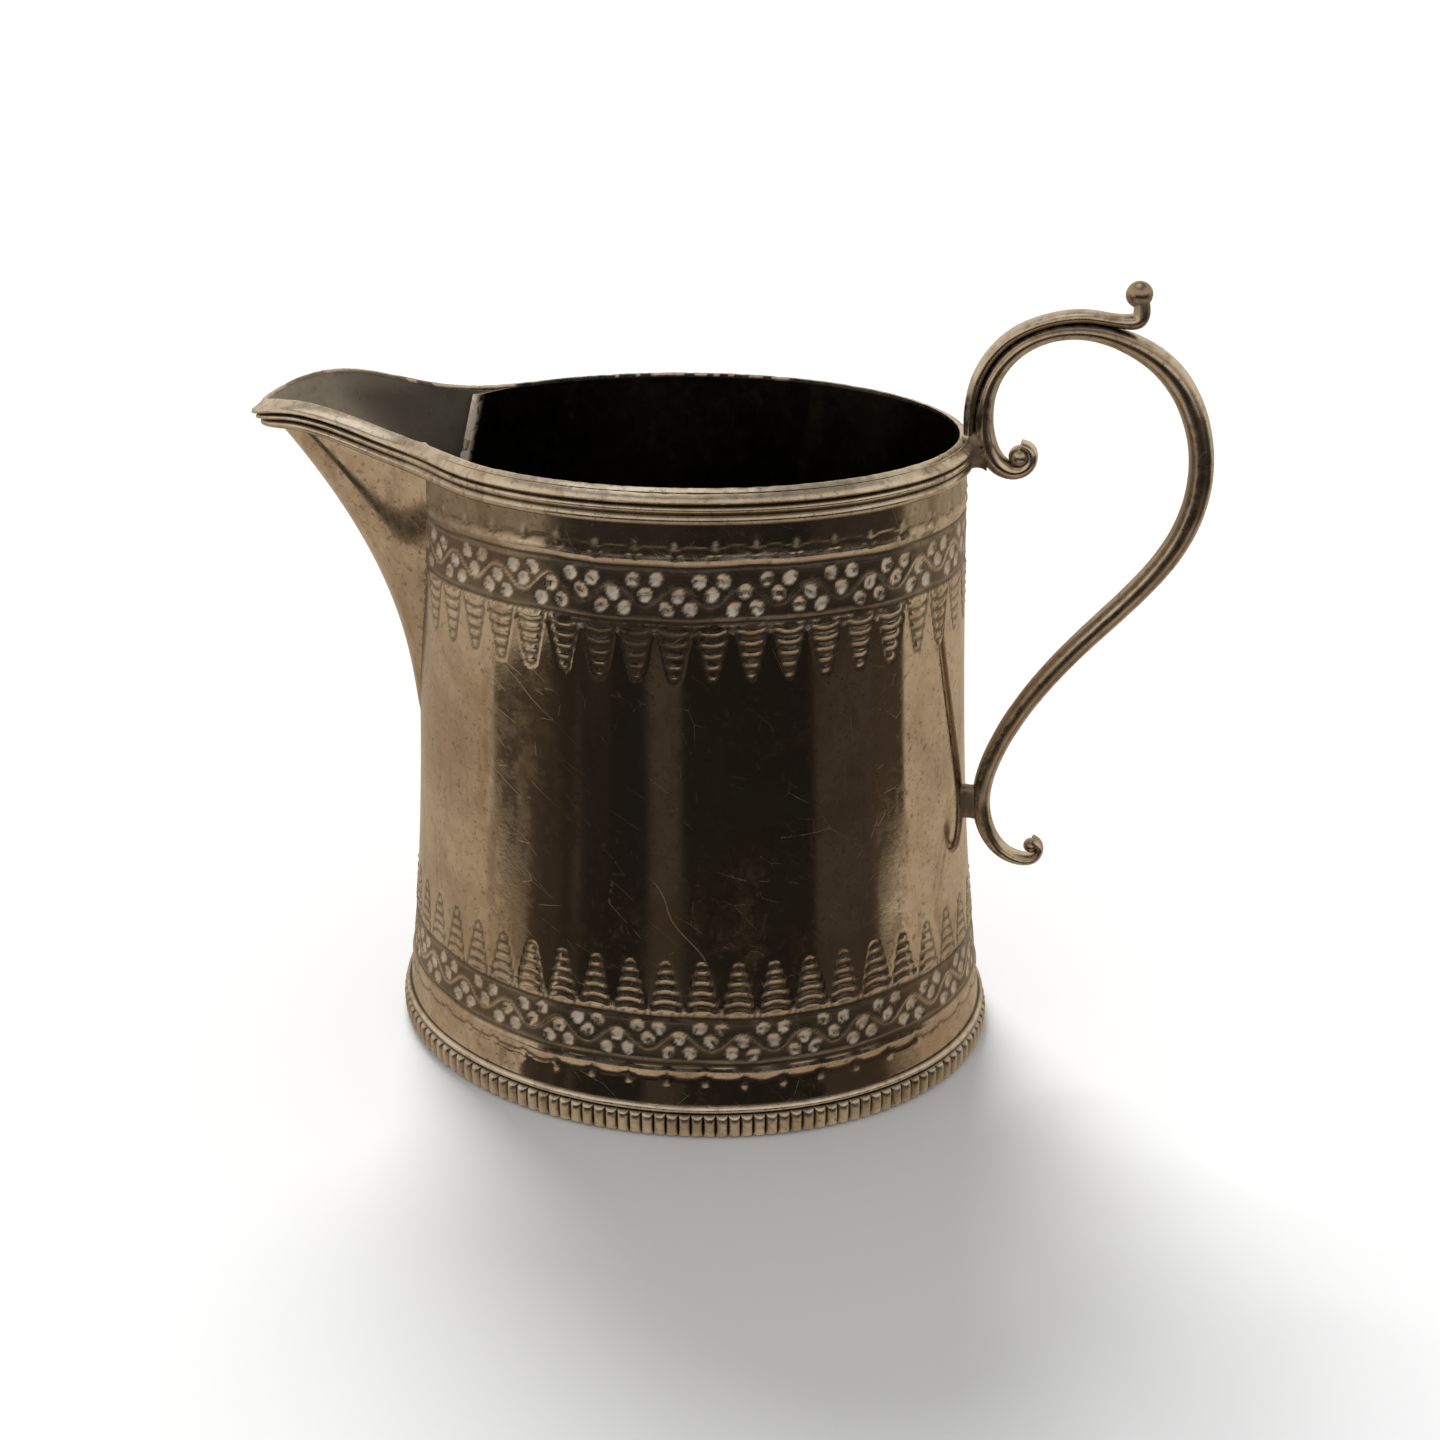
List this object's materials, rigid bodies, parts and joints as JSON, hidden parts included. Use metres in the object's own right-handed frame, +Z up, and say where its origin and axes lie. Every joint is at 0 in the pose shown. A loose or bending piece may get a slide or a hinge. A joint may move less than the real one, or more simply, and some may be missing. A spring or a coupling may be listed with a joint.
{
  "type": "cream jug",
  "caption": "Oval footed cream jug in tarnished silver with a flaring spout, reeded rim, beaded foot, engraved leaf bands and a scrolled side handle.",
  "frame": {"origin": "on the resting plane, under the middle of the jug's overall length and depth", "axes": "+Z up; the spout points along -X and the handle along +X; the jug is symmetric about the XZ plane"},
  "size_m": [0.1161, 0.0636, 0.0985],
  "materials": {
    "sheet_silver": "polished silver sheet, tarnished brown, with fine scratches and engraved bands",
    "wire_silver": "drawn and stamped silver wire, bright on its ridges and dark in its grooves",
    "cast_silver": "cast silver, polished on its outer side and tarnished underneath",
    "solder": "dull silver solder"
  },
  "bodies": {
    "root": {"body_shell": "sheet_silver", "base_plate": "sheet_silver", "foot_beading": "wire_silver", "foot_fillet": "wire_silver", "rim_moulding": "wire_silver", "spout_shell": "sheet_silver", "spout_wire_far": "wire_silver", "spout_wire_near": "wire_silver", "handle_scroll": "cast_silver", "handle_overlay": "cast_silver", "upper_handle_lug": "solder", "lower_handle_lug": "solder"}
  },
  "joints": []
}
